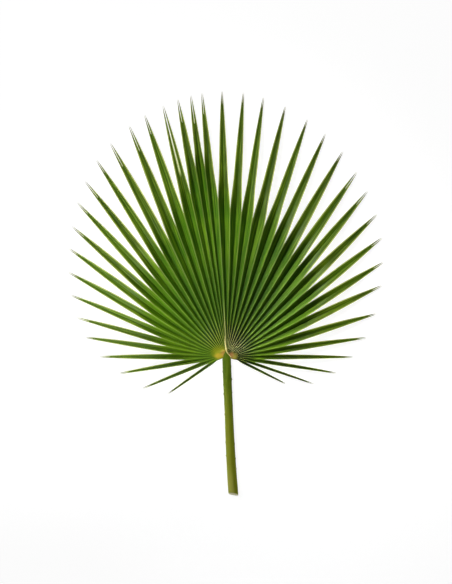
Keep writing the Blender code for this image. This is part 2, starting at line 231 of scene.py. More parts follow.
def margin_point(i, side, s):
    """A point of the margin of segment i, on the shared ridge while s is inside the joined stretch."""
    rib, ridge, split = ribs[i], ridge_beside(i, side), split_beside(i, side)
    if s <= split and ridge is not None:
        right_rib = ribs[i if side > 0 else i - 1]
        plan = ridge.plan(s)
        width = (plan - right_rib.plan(s)).length
        return Vector((plan.x, plan.y, ridge.height(s) + ridge.slope(s) * width / 2))
    free = max(0.0, (s - split) / (1 - split))
    reach_aside = offset(i, side, s)
    plan = rib.plan(s) + reach_aside + rib.across * side * FINE_TIP_GAP / 2 * free
    return Vector((plan.x, plan.y, rib.height(s) + rib.slope(s) * kept_fold(free) * reach_aside.length / 2))


def deselect_all():
    """Leaves edit mode and deselects every object, the CAD nodes too."""
    if bpy.context.mode != "OBJECT":
        bpy.ops.object.mode_set(mode="OBJECT")
    bpy.ops.object.select_all(action="DESELECT")


def edit(piece):
    """Enters edit mode on one piece alone, with nothing selected in it."""
    deselect_all()
    bpy.context.view_layer.objects.active = piece
    piece.select_set(True)
    bpy.ops.object.mode_set(mode="EDIT")
    bpy.ops.mesh.select_all(action="DESELECT")


def select_edges(piece, test):
    """Selects the edges whose two ends pass a test, and goes back to edit mode."""
    bpy.ops.mesh.select_mode(type="EDGE")
    bpy.ops.object.mode_set(mode="OBJECT")
    for line in piece.data.edges:
        line.select = test(*(piece.data.vertices[v].co for v in line.vertices))
    bpy.ops.object.mode_set(mode="EDIT")


def finish_mesh(piece, sharp_degrees):
    """Turns all faces outwards, and shades them smooth up to a sharp edge's angle."""
    edit(piece)
    bpy.ops.mesh.select_all(action="SELECT")
    bpy.ops.mesh.normals_make_consistent(inside=False)
    deselect_all()
    piece.select_set(True)
    bpy.ops.object.shade_smooth_by_angle(angle=math.radians(sharp_degrees))


# One trough, flat and 2 by 2: x is -1 and 1 at its margins, y runs from the stalk to the tip, and the edges
# along its midrib are split in the prongs
deselect_all()
bpy.ops.mesh.primitive_grid_add(x_subdivisions=2 * FLANK_COLUMNS, y_subdivisions=SEGMENT_ROWS, size=2)
trough = bpy.context.object
trough.name = "trough"
slit_y = 2 * (JOINED_ROWS + WHOLE_ROWS) / SEGMENT_ROWS - 1
edit(trough)
select_edges(trough, lambda *ends: all(
    abs(end.x) < GRID_TOLERANCE and end.y > slit_y - GRID_TOLERANCE for end in ends))
bpy.ops.mesh.edge_split(type="EDGE")
bpy.ops.object.mode_set(mode="OBJECT")

# Which side of the slit each of its vertices is on
sides = [0.0] * len(trough.data.vertices)
for face in trough.data.polygons:
    for v in face.vertices:
        sides[v] += face.center.x


def row_shares(i, side):
    """The share of the way to the tip of every row, on midrib i (side 0) or on one of its margins."""
    splits = [split_beside(i, s) for s in (-1, 1)]
    split = splits[0] if side < 0 else splits[1] if side > 0 else sum(splits) / 2
    slit_start = 1 - slit_lengths[i] / ribs[i].run
    rows = [split * (k / JOINED_ROWS) ** BASE_CROWDING for k in range(JOINED_ROWS)]
    rows += [split + (slit_start - split) * k / WHOLE_ROWS for k in range(WHOLE_ROWS)]
    rows += [slit_start + (1 - slit_start) * k / PRONG_ROWS for k in range(PRONG_ROWS + 1)]
    return rows, slit_start


def lay_segment(piece, i, fold_depth, tone):
    """Lays the flat trough on segment i of the fan, and writes where each point is on the segment."""
    rib = ribs[i]
    rows, slit_start = row_shares(i, 0)
    margins = {side: [margin_point(i, side, s) for s in row_shares(i, side)[0]] for side in (-1, 1)}
    down_slit = [max(0.0, (s - slit_start) / (1 - slit_start)) for s in rows]
    valley = []
    for s in rows:
        plan = rib.plan(s)
        half_width = (offset(i, 1, s).length + offset(i, -1, s).length) / 2
        fold = rib.slope(s) * fold_depth * kept_fold(outward(i, s))
        valley.append(Vector((plan.x, plan.y, rib.height(s) - fold * half_width / 2)))
    keel = piece.data.attributes.new("keel", "FLOAT", "POINT")
    slit = piece.data.attributes.new("slit", "FLOAT", "POINT")
    marks = {}
    for v in piece.data.vertices:
        side = 1 if sides[v.index] > 0 else -1
        row = round((v.co.y + 1) / 2 * SEGMENT_ROWS)
        column = abs(v.co.x)
        crowded = 0.5 - 0.5 * math.cos(math.pi * column)
        share = EVEN_COLUMNS * column + (1 - EVEN_COLUMNS) * crowded
        half_slit = Vector((rib.across.x, rib.across.y, 0)) * FINE_TIP_GAP / 2 * down_slit[row]
        inner, outer = valley[row] + half_slit * side, margins[side][row]
        place = inner.lerp(outer, share)
        bulge = FLANK_BULGE * (outer - inner).length * rib.slope(rows[row])
        place.z += bulge * share * (1 - share)
        v.co = place + hub
        marks[v.index] = (0.5 + side * share / 2, place.xy.length, 0.5 + outward(i, rows[row]) / 2)
        lengthwise = ease(rows[row] / KEEL_START_RUN) * (1 - ease((rows[row] - KEEL_END) / KEEL_END_RUN))
        keel.data[v.index].value = KEEL * ease(1 - share / KEEL_SHARE) * lengthwise
        slit.data[v.index].value = down_slit[row]
    tone_map = piece.data.uv_layers.new(name="tone")
    for loop in piece.data.loops:
        across, distance, out = marks[loop.vertex_index]
        piece.data.uv_layers[0].data[loop.index].uv = (across, distance)
        tone_map.data[loop.index].uv = (tone, out)
    return piece


grown = random.Random(GROWTH_SEED)
segments = []
for i in range(len(ribs)):
    copy = trough.copy()
    copy.data = trough.data.copy()
    bpy.context.scene.collection.objects.link(copy)
    segments.append(lay_segment(copy, i, grown.uniform(*GROWN_FOLD), grown.random()))

# The pad at the foot of the fan, round the pointed end of the stalk, out to the feet of the segments
HEAD_EDGE = [(0.0074, -0.0090), (-0.0012, 0.0029), (-0.0042, -0.0022), (-0.0055, -0.0078)]
PAD_ROWS = 5
PAD_RISE, PAD_RISE_POWER = 0.0009, 1.5
foot_edge = [v for v in trough.data.vertices if v.co.y < -1 + GRID_TOLERANCE]
foot_edge = [v.index for v in sorted(foot_edge, key=lambda v: v.co.x)]
bpy.data.objects.remove(trough)
foot_row = [segment.data.vertices[v].co - hub for segment in segments for v in foot_edge[:-1]]
foot_row.append(segments[-1].data.vertices[foot_edge[-1]].co - hub)
pad_columns = len(foot_row) - 1
edge_points = [Vector((x, y, BASE_HEIGHT)) for x, y in HEAD_EDGE]
edge_lengths = [(b - a).length for a, b in zip(edge_points, edge_points[1:])]


def head_edge(share):
    """A point of the pad's inner edge, round the stalk's pointed end from its right side to its left."""
    distance = share * sum(edge_lengths)
    for a, b, length in zip(edge_points, edge_points[1:], edge_lengths):
        if distance <= length:
            return a.lerp(b, distance / length)
        distance -= length
    return edge_points[-1].copy()


deselect_all()
bpy.ops.mesh.primitive_grid_add(x_subdivisions=pad_columns, y_subdivisions=PAD_ROWS, size=2)
pad = bpy.context.object
pad.data.attributes.new("keel", "FLOAT", "POINT")
pad.data.attributes.new("slit", "FLOAT", "POINT")
pad_marks = {}
for v in pad.data.vertices:
    column = round((v.co.x + 1) / 2 * pad_columns)
    row_share = round((v.co.y + 1) / 2 * PAD_ROWS) / PAD_ROWS
    place = head_edge(column / pad_columns).lerp(foot_row[column], row_share)
    place.z += PAD_RISE * math.sin(math.pi * row_share) ** PAD_RISE_POWER
    from_midrib = abs(column % (2 * FLANK_COLUMNS) / FLANK_COLUMNS - 1)
    pad_marks[v.index] = (0.5 + from_midrib / 2, place.xy.length)
    v.co = place + hub
pad_tone = pad.data.uv_layers.new(name="tone")
for loop in pad.data.loops:
    pad.data.uv_layers[0].data[loop.index].uv = pad_marks[loop.vertex_index]
    pad_tone.data[loop.index].uv = (0.5, 0.0)

# Segments and pad become one sheet, then one closed plate that is thicker along the midribs
deselect_all()
for piece in segments + [pad]:
    piece.select_set(True)
bpy.context.view_layer.objects.active = pad
bpy.ops.object.join()
blade = pad
blade.name = blade.data.name = "blade_fan"
edit(blade)
bpy.ops.mesh.select_mode(type="VERT")
bpy.ops.mesh.select_all(action="SELECT")
bpy.ops.mesh.remove_doubles(threshold=WELD_GAP)
bpy.ops.mesh.normals_make_consistent(inside=False)
bpy.ops.mesh.extrude_region_move(TRANSFORM_OT_translate={"value": (0, 0, -MARGIN_THICKNESS)})
bpy.ops.object.mode_set(mode="OBJECT")
keel_depth = blade.data.attributes["keel"]
for v in blade.data.vertices:
    if v.select:
        v.co.z -= keel_depth.data[v.index].value
blade.data.attributes.remove(keel_depth)
finish_mesh(blade, LEAF_SHARP_EDGE)


def linear(code):
    """A colour's sRGB hex code as the linear values that a shader takes."""
    parts = [int(code[k:k + 2], 16) / 255 for k in (1, 3, 5)]
    return tuple(p / 12.92 if p <= 0.04045 else ((p + 0.055) / 1.055) ** 2.4 for p in parts) + (1,)


def add_node(owner, kind, settings=None, inputs=None, output=0):
    """Adds a node with its settings; an input is a socket to link, a colour's hex code or a plain value."""
    node = owner.node_tree.nodes.new("ShaderNode" + kind)
    for name, value in (settings or {}).items():
        setattr(node, name, value)
    for name, value in (inputs or {}).items():
        if isinstance(value, bpy.types.NodeSocket):
            owner.node_tree.links.new(value, node.inputs[name])
        else:
            node.inputs[name].default_value = linear(value) if isinstance(value, str) else value
    return node.outputs[output]


# What a step of a material can be: a kind of node with its settings, the inputs that take the step's values
# in turn, and its output. COVER lays one colour over another by a mask, and TINT multiplies it in. Any
# other step is an operation of the Math node
STEP_KINDS = {
    "X": ("SeparateXYZ", {}, (0,), 0),
    "Y": ("SeparateXYZ", {}, (0,), 1),
    "POINT": ("CombineXYZ", {}, (0, 1), 0),
    "FROM": ("VectorMath", {"operation": "SUBTRACT"}, (0, 1), 0),
    "STRETCH": ("VectorMath", {"operation": "MULTIPLY"}, (0, 1), 0),
    "LENGTH": ("VectorMath", {"operation": "LENGTH"}, (0,), "Value"),
    "SMOOTH": ("MapRange", {"interpolation_type": "SMOOTHSTEP"},
               ("Value", "From Min", "From Max", "To Min", "To Max"), 0),
    "NOISE": ("TexNoise", {}, ("Vector", "Scale", "Detail"), 0),
    "COVER": ("Mix", {"data_type": "RGBA"}, (0, 6, 7), 2),
    "TINT": ("Mix", {"data_type": "RGBA", "blend_type": "MULTIPLY"}, (0, 6, 7), 2),
}


def add_steps(material, made, steps):
    """Adds the node of each step in turn, and keeps its output in made under the step's name."""
    for name, step, *values in steps:
        kind, settings, slots, output = STEP_KINDS.get(step, ("Math", {"operation": step}, (0, 1, 2), 0))
        values = [made[v] if isinstance(v, str) and v[0] != "#" else v for v in values]
        made[name] = add_node(material, kind, settings, dict(zip(slots, values)), output)


def new_material(name, roughness, **sockets):
    """A new material and its shader, with what is the same all over set on the shader's own sockets."""
    material = bpy.data.materials.new(name)
    material.use_nodes = True
    shader = material.node_tree.nodes["Principled BSDF"]
    shader.inputs["Roughness"].default_value = roughness
    for socket, value in sockets.items():
        shader.inputs[socket.replace("_", " ")].default_value = value
    return material, shader


# Fresh palm leaf: green all through under a thin wax, so it is satin and not glossy. Fine parallel veins run
# along it, the folds carry a pale line that is partly paler tissue and partly a painted highlight, painted
# shade darkens the valleys and the fan's middle, the pad at its foot is yellow and the tips dry out first
leaf, shader = new_material("waxy_palm_leaf", 0.5, Specular_IOR_Level=0.14)
MM = 0.001
on_leaf = {
    "place": add_node(leaf, "TexCoord", output="Object"),
    "leaf_map": add_node(leaf, "UVMap", {"uv_map": "UVMap"}),
    "tone_map": add_node(leaf, "UVMap", {"uv_map": "tone"}),
    "slit": add_node(leaf, "Attribute", {"attribute_name": "slit"}, output="Fac"),
}

# Where a point is: across its segment, from midrib (0) to margin (1), how far from the crest's foot, along
# the segment, with 0.5 where it comes free and 1 at its tip, and how steeply up the fan from the foot
add_steps(leaf, on_leaf, [
    ("across", "X", "leaf_map"),
    ("share", "MULTIPLY_ADD", "across", 2.0, -1.0),
    ("share", "ABSOLUTE", "share"),
    ("distance", "Y", "leaf_map"),
    ("tone", "X", "tone_map"),
    ("out", "Y", "tone_map"),
    ("from_hub", "FROM", "place", (hub.x, hub.y, 0)),
    ("x", "X", "from_hub"),
    ("y", "Y", "from_hub"),
    ("upward", "DIVIDE", "y", "distance"),
])

# Deep green in the fan's middle, more olive at its sides and outwards, and each segment a little different
add_steps(leaf, on_leaf, [
    ("beside", "SMOOTH", "upward", 0.95, 0.6),
    ("colour", "COVER", "beside", "#3a6804", "#508206"),
    ("low", "SMOOTH", "upward", 0.7, 0.1),
    ("colour", "COVER", "low", "colour", "#6a960e"),
    ("free", "SMOOTH", "out", 0.42, 0.62),
    ("colour", "COVER", "free", "colour", "#3e5203"),
    ("varied", "SMOOTH", "tone", 0.0, 1.0, 0.0, 0.35),
    ("colour", "COVER", "varied", "colour", "#4c7a05"),
])

# Streaks along the veins, up to 2 mm wide, and finer ones over them. The real ones are finer still, but these
# show from a step away. Each row has the streaks across a segment, the place in the noise, and then where
# light and dark streaks start and are full, how strong they are and their colour
STREAKS = [
    (9.0, 3.0, (0.52, 0.68, 0.0, 0.5), "#7ea01a", (0.48, 0.32, 0.0, 0.6), "#264801"),
    (24.0, 11.0, (0.5, 0.7, 0.0, 0.45), "#88aa22", (0.5, 0.3, 0.0, 0.5), "#284602"),
]
SEGMENT_STRIDE = 40.0
for count, noise_start, light, light_code, dark, dark_code in STREAKS:
    add_steps(leaf, on_leaf, [
        ("start", "MULTIPLY_ADD", "tone", SEGMENT_STRIDE, noise_start),
        ("noise_x", "MULTIPLY_ADD", "across", count, "start"),
        ("noise_y", "MULTIPLY", "distance", count),
        ("noise_place", "POINT", "noise_x", "noise_y"),
        ("streak", "NOISE", "noise_place", 1.0, 1.0),
        ("light", "SMOOTH", "streak", *light),
        ("colour", "COVER", "light", "colour", light_code),
        ("dark", "SMOOTH", "streak", *dark),
        ("colour", "COVER", "dark", "colour", dark_code),
    ])

# Painted shade darkens the pleats in the fan's middle, as far out as they are joined, and lays a dark line
# down each midrib in its valley. The pale line along each fold is partly paler tissue and partly a painted
# highlight
add_steps(leaf, on_leaf, [
    ("middle", "SMOOTH", "upward", 0.35, 0.9, 0.0, 0.75),
    ("joined", "SMOOTH", "out", 0.8, 0.45),
    ("middle", "MULTIPLY", "middle", "joined"),
    ("colour", "TINT", "middle", "colour", "#c3cbbc"),
    ("midrib", "SMOOTH", "share", 0.14, 0.03, 0.0, 0.55),
    ("colour", "COVER", "midrib", "colour", "#243d02"),
    ("fold", "SMOOTH", "share", 0.82, 0.97, 0.0, 0.25),
    ("colour", "COVER", "fold", "colour", "#b4c46a"),
])

# A wider and paler line runs along the free edges, and takes up more of the segment as that narrows. The
# slit in the tip has one too
add_steps(leaf, on_leaf, [
    ("rim_start", "SMOOTH", "out", 0.5, 0.95, 0.8, 0.62),
    ("rim_full", "ADD", "rim_start", 0.14),
    ("rim", "SMOOTH", "share", "rim_start", "rim_full"),
    ("free_part", "SMOOTH", "out", 0.47, 0.56, 0.0, 0.8),
    ("rim", "MULTIPLY", "rim", "free_part"),
    ("colour", "COVER", "rim", "colour", "#c4cc70"),
    ("slit_edge", "SMOOTH", "share", 0.3, 0.06),
    ("slit_part", "SMOOTH", "slit", 0.0, 0.1, 0.0, 0.85),
    ("slit_edge", "MULTIPLY", "slit_edge", "slit_part"),
    ("colour", "COVER", "slit_edge", "colour", "#ccd488"),
])

# Painted shade makes the valleys very dark as far as they are narrow, above all on the right, and painted
# shade darkens all of the leaf near the stalk, more on the right
add_steps(leaf, on_leaf, [
    ("deep", "SMOOTH", "x", -6 * MM, 5 * MM, 0.62, 0.87),
    ("narrow", "SMOOTH", "distance", 225 * MM, 50 * MM),
    ("narrow", "MULTIPLY", "narrow", "deep"),
    ("valley", "SMOOTH", "share", 0.85, 0.25, 0.0, 0.9),
    ("valley", "MULTIPLY", "valley", "narrow"),
    ("colour", "COVER", "valley", "colour", "#081a00"),
    ("shaded", "SMOOTH", "x", -6 * MM, 5 * MM, 0.5, 0.9),
    ("near", "SMOOTH", "distance", 50 * MM, 36 * MM),
    ("near", "MULTIPLY", "near", "shaded"),
    ("colour", "TINT", "near", "colour", "#c4d2a4"),
])

# There, on the right, the valleys are blackish with painted shade and the folds cream, partly paler tissue
# and partly a painted highlight. On the left the valleys carry dark green painted shade and the folds are
# yellow-green, partly tissue and partly painted highlight, and both fade out lower down
add_steps(leaf, on_leaf, [
    ("right", "SMOOTH", "x", -6 * MM, 5 * MM),
    ("near_right", "SMOOTH", "distance", 50 * MM, 18 * MM),
    ("near_right", "MULTIPLY", "near_right", "right"),
    ("near_left", "SMOOTH", "distance", 60 * MM, 18 * MM),
    ("near_left", "SUBTRACT", "near_left", "near_right"),
    ("near_left", "MAXIMUM", "near_left", 0.0),
    ("not_low", "SMOOTH", "upward", 0.05, 0.6),
    ("near_left", "MULTIPLY", "near_left", "not_low"),
    ("black_valley", "SMOOTH", "share", 0.9, 0.7),
    ("black_valley", "MULTIPLY", "black_valley", "near_right"),
    ("colour", "COVER", "black_valley", "colour", "#060900"),
    ("cream", "SMOOTH", "share", 0.8, 0.93),
    ("cream_part", "SMOOTH", "upward", -0.3, 0.75, 0.4, 1.0),
    ("cream", "MULTIPLY", "cream", "cream_part"),
    ("cream", "MULTIPLY", "cream", "near_right"),
    ("colour", "COVER", "cream", "colour", "#f0f290"),
    ("green_valley", "SMOOTH", "share", 0.75, 0.4, 0.0, 0.8),
    ("green_valley", "MULTIPLY", "green_valley", "near_left"),
    ("colour", "COVER", "green_valley", "colour", "#162a00"),
    ("yellow_fold", "SMOOTH", "share", 0.65, 0.9, 0.0, 0.85),
    ("yellow_fold", "MULTIPLY", "yellow_fold", "near_left"),
    ("colour", "COVER", "yellow_fold", "colour", "#a8b640"),
])

# The fold that the crest stands on stays cream for a few centimetres past it, and the tips dry out
CREST_LEAN = 0.059
add_steps(leaf, on_leaf, [
    ("beside_crest", "MULTIPLY_ADD", "y", CREST_LEAN, "x"),
    ("beside_crest", "ABSOLUTE", "beside_crest"),
    ("crest_fold", "SMOOTH", "beside_crest", 1.1 * MM, 0.4 * MM),
    ("past_crest", "SMOOTH", "distance", 90 * MM, 20 * MM, 0.0, 0.4),
    ("crest_fold", "MULTIPLY", "crest_fold", "past_crest"),
    ("colour", "COVER", "crest_fold", "colour", "#d8d488"),
    ("dry", "SMOOTH", "out", 0.92, 0.995, 0.0, 0.65),
    ("colour", "COVER", "dry", "colour", "#8a8460"),
])

# The yellow pad left of the stalk, flushed with orange beside it, and the smaller brownish one right of it.
# Each row has a patch's middle, how far out it is full and where it ends, in millimetres, then its width over
# its height, how strong it is and its colour. Their edges are uneven by up to 3 mm, in spots of about 4 mm
PAD_PATCHES = [
    (-10, 0, 5, 17, 1.2, 0.85, "#868a12"),
    (-11, -4, 3, 9, 1.6, 1.0, "#b49e2a"),
    (-5, 0, 1, 6, 1.0, 0.6, "#c48c50"),
    (11, -5, 2, 8, 1.0, 1.0, "#8e8630"),
    (7, -3, 1, 6, 1.0, 0.6, "#a0603c"),
]
MOTTLE_SIZE = 3.846 * MM
MOTTLE_REACH = 6 * MM
add_steps(leaf, on_leaf, [
    ("mottle", "NOISE", "place", 1 / MOTTLE_SIZE, 3.0),
    ("mottle", "SUBTRACT", "mottle", 0.5),
    ("unevenness", "MULTIPLY", "mottle", MOTTLE_REACH),
])
for x_mm, y_mm, full_mm, end_mm, flatness, strength, code in PAD_PATCHES:
    add_steps(leaf, on_leaf, [
        ("away", "FROM", "place", (hub.x + x_mm * MM, hub.y + y_mm * MM, 0)),
        ("away", "STRETCH", "away", (1, flatness, 0)),
        ("away", "LENGTH", "away"),
        ("away", "ADD", "away", "unevenness"),
        ("patch", "SMOOTH", "away", end_mm * MM, full_mm * MM, 0.0, strength),
        ("colour", "COVER", "patch", "colour", code),
    ])
leaf.node_tree.links.new(on_leaf["colour"], shader.inputs["Base Color"])

# Nine raised veins on each flank, 1 mm apart where it is widest
VEINS = 9
add_steps(leaf, on_leaf, [
    ("vein", "MULTIPLY", "share", 2 * math.pi * VEINS),
    ("vein", "SINE", "vein"),
])
vein_relief = {"Height": on_leaf["vein"], "Strength": 0.3, "Distance": 0.04 * MM}
leaf.node_tree.links.new(add_node(leaf, "Bump", {}, vein_relief), shader.inputs["Normal"])
blade.data.materials.clear()
blade.data.materials.append(leaf)
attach(blade, "root")
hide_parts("blade")

# Petiole
# The leaf stalk, olive green and rounded, with small forward teeth along both edges, cut off slantwise at its
# foot. At its other end it runs into a pointed head between the pads, and below the fan into a low tongue.

# The stalk's course, widths and thicknesses, from the neck at the fan down to the cut
CUT_Y = -0.2115
NECK_Y = -0.0105
TONGUE_Y = 0.0115
NECK_X = 0.0011
CUT_SHIFT_EVEN, CUT_SHIFT_CURVED = 0.0056, 0.0036
NECK_WIDTH, CUT_WIDTH = 0.0114, 0.0152
NECK_THICKNESS, CUT_THICKNESS = 0.0086, 0.0102
NECK_SWELL, NECK_SWELL_END = 0.0018, -0.100
STRIP_HALF_WIDTH = 0.0020

# Its outline, as shares of its half width and of its thickness, and the slant of its cut
STALK_SIDE = [(0.66, 0.10), (0.92, 0.32)]
EDGE_LEVEL = 0.53
STALK_TOP = [
    (0.97, 0.69), (0.88, 0.81), (0.62, 0.91), (0.14, 1.0), (-0.52, 0.95), (-0.87, 0.82), (-0.97, 0.69),
]
CUT_SLANT_ACROSS, CUT_SLANT_DOWN, CUT_SLANT_UP = 0.0014, 0.0026, 0.0014
CUT_SLANT_FADE = 0.009

# The pointed head, the ledge it stands on and the tongue
HEAD_TIP = (-0.0012, 0.0018)
HEAD_TIP_WIDTH = 0.0005
HEAD_RIGHT = [(-0.0090, 0.0067), (0.0018, -0.00095)]
HEAD_LEFT = [(-0.0090, -0.0050), (-0.0022, -0.0037), (0.0018, -0.00145)]
HEAD_BEVEL = 0.0007
HEAD_SIDE = [(0.66, 0.14), (0.92, 0.42), (1.0, 0.72)]
HEAD_LIP_WIDTH = 0.96
LEDGE_HEIGHT = 0.00615
LEDGE_LIP = 0.0006
TONGUE_FLARE = 0.004
TONGUE_HALF_WIDTH = 0.0022
TONGUE_STRIP_HALF_WIDTH = 0.0009
TONGUE_RISE_START, TONGUE_RISE = -0.030, 0.0036

# The teeth, and how finely the stalk is divided
TOOTH_SEED = 11
TOOTH_STARTS = (-0.020, -0.027)
TOOTH_PITCH = (0.014, 0.024)
TOOTH_HEIGHT = (0.0005, 0.0011)
TOOTH_FOOT, TOOTH_HOOK = 0.0022, 0.0005
TOOTH_BACK_POWER = 1.6
STALK_PITCH = 0.0006
RING_CORNERS = 15
RING_STEPS = 3
STRAIGHT_CORNERS = (0, 3, 4, 11, 12)
STALK_SHARP_EDGE = 40


def tongue_rise(y):
    """How high the underside is: flat on the ground below the fan, then rising to the tongue's end."""
    return TONGUE_RISE * ease((y - TONGUE_RISE_START) / (TONGUE_Y - TONGUE_RISE_START))


def stalk_corners(y):
    """The corners of the stalk's ring at y, from the left end of its flat strip round to its left side."""
    way_down = max(0.0, (NECK_Y - y) / (NECK_Y - CUT_Y))
    centre = NECK_X + CUT_SHIFT_EVEN * way_down + CUT_SHIFT_CURVED * way_down ** 3
    half = (NECK_WIDTH + (CUT_WIDTH - NECK_WIDTH) * way_down) / 2
    thick = NECK_THICKNESS + (CUT_THICKNESS - NECK_THICKNESS) * way_down
    low = tongue_rise(y)
    outline = [(-STRIP_HALF_WIDTH, 0.0), (STRIP_HALF_WIDTH, 0.0)]
    outline += [(half * share, level) for share, level in STALK_SIDE]
    outline += [(half + tooth_beside(y, 0), EDGE_LEVEL)]
    outline += [(half * share, level) for share, level in STALK_TOP]
    outline += [(-half - tooth_beside(y, 1), EDGE_LEVEL)]
    outline += [(-half * share, level) for share, level in reversed(STALK_SIDE)]
    swell = NECK_SWELL * ease((y - NECK_SWELL_END) / (NECK_Y - NECK_SWELL_END))
    ring = []
    for x, level in outline:
        x -= swell * max(0.0, -x / half)
        slant = CUT_SLANT_ACROSS * x / half + CUT_SLANT_DOWN * (1 - level) - CUT_SLANT_UP * level
        slant *= max(0.0, 1 - (y - CUT_Y) / CUT_SLANT_FADE)
        ring.append(Vector((centre + x, y - slant, low + (thick - low) * level)))
    return ring


def head_corners(y):
    """The same corners further on: a pointed head on a ledge, and past its tip only the low tongue."""
    t = ease((y - NECK_Y) / (TONGUE_Y - NECK_Y))
    centre = NECK_X * (1 - t)
    half = NECK_WIDTH / 2 * (1 - t) + TONGUE_HALF_WIDTH * t
    left_half = half + NECK_SWELL * (1 - t)
    low = tongue_rise(y)
    strip = STRIP_HALF_WIDTH * (1 - t) + TONGUE_STRIP_HALF_WIDTH * t

    def body(x, level):
        return Vector((centre + x, y, low + (LEDGE_HEIGHT - low) * level))

    sides = HEAD_SIDE + [(HEAD_LIP_WIDTH, 1 - LEDGE_LIP / (LEDGE_HEIGHT - low))]
    right_side = [body(half * share, level) for share, level in sides]
    left_side = [body(-left_half * share, level) for share, level in reversed(sides)]
    if y <= HEAD_TIP[1]:
        right, left = along(HEAD_RIGHT, y), along(HEAD_LEFT, y)
        shoulder = NECK_THICKNESS - HEAD_BEVEL
        profile = [(right, LEDGE_HEIGHT), (right, shoulder), ((right + left) / 2, NECK_THICKNESS)]
        profile += [(left, shoulder), (left, LEDGE_HEIGHT)]
        head = [Vector((x, y, z)) for x, z in profile]
    else:
        flare = ease((y - HEAD_TIP[1]) / TONGUE_FLARE)
        quarter = (HEAD_TIP_WIDTH + half * flare) / 4
        shift = (HEAD_TIP[0] - centre) * (1 - flare)
        head = [body(shift + quarter * k, 1.0) for k in (2, 1, 0, -1, -2)]
    return [body(-strip, 0.0), body(strip, 0.0)] + right_side + head + left_side


draw = random.Random(TOOTH_SEED)
teeth = []
for y in TOOTH_STARTS:
    teeth.append([])
    while y > CUT_Y + TOOTH_PITCH[1]:
        teeth[-1].append((y, draw.uniform(*TOOTH_HEIGHT)))
        y -= draw.uniform(*TOOTH_PITCH)


def tooth_beside(y, side):
    """How far a tooth stands out of the right (0) or left (1) edge at y: a long back and a short front."""
    for peak, height in teeth[side]:
        if peak - TOOTH_FOOT < y <= peak:
            return height * (1 - (peak - y) / TOOTH_FOOT) ** TOOTH_BACK_POWER
        if peak < y < peak + TOOTH_HOOK:
            return height * (1 - (y - peak) / TOOTH_HOOK)
    return 0.0


# Rings as far apart as the pitch, moved so that one stands at each tooth's point
ring_count = round((TONGUE_Y - CUT_Y) / STALK_PITCH)
ring_places = [CUT_Y + (TONGUE_Y - CUT_Y) * k / ring_count for k in range(ring_count + 1)]
for peak, height in teeth[0] + teeth[1]:
    nearest = min(range(len(ring_places)), key=lambda k: abs(ring_places[k] - peak))
    ring_places[nearest] = peak


def fine_ring(y):
    """The corners joined by a smooth curve on the stalk, and by straight lines on the head's sharp steps."""
    on_head = y >= NECK_Y
    corners = head_corners(y) if on_head else stalk_corners(y)
    ring = []
    for k in range(RING_CORNERS):
        before, a, b, after = (corners[(k + n) % RING_CORNERS] for n in (-1, 0, 1, 2))
        for step in range(RING_STEPS):
            t = step / RING_STEPS
            curved = a * (1 + 2 * t) * (1 - t) ** 2 + b * t * t * (3 - 2 * t)
            curved += (b - before) / 2 * t * (1 - t) ** 2 + (after - a) / 2 * t * t * (t - 1)
            ring.append(a.lerp(b, t) if on_head or k in STRAIGHT_CORNERS else curved)
    return ring


def ringed_cylinder(name, sides, count):
    """A closed cylinder, 2 tall and 2 wide, cut across into so many rings, ready to be shaped."""
    deselect_all()
    bpy.ops.mesh.primitive_cylinder_add(vertices=sides, radius=1, depth=2, end_fill_type="NGON")
    piece = bpy.context.object
    piece.name = piece.data.name = name
    edit(piece)
    select_edges(piece, lambda start, end: abs(start.z - end.z) > 1)
    bpy.ops.mesh.subdivide(number_cuts=count - 1)
    bpy.ops.object.mode_set(mode="OBJECT")
    return piece


ring_size = RING_CORNERS * RING_STEPS
petiole = ringed_cylinder("petiole_stalk", ring_size, ring_count)
rings = [fine_ring(y) for y in ring_places]
across_stalk = petiole.data.attributes.new("across", "FLOAT", "POINT")
for v in petiole.data.vertices:
    ring = rings[round((v.co.z + 1) / 2 * ring_count)]
    point = ring[round(math.atan2(v.co.y, v.co.x) / (2 * math.pi) * ring_size) % ring_size]
    right, left = max(p.x for p in ring), min(p.x for p in ring)
    across_stalk.data[v.index].value = (2 * point.x - right - left) / (right - left)
    v.co = point + hub
finish_mesh(petiole, STALK_SHARP_EDGE)

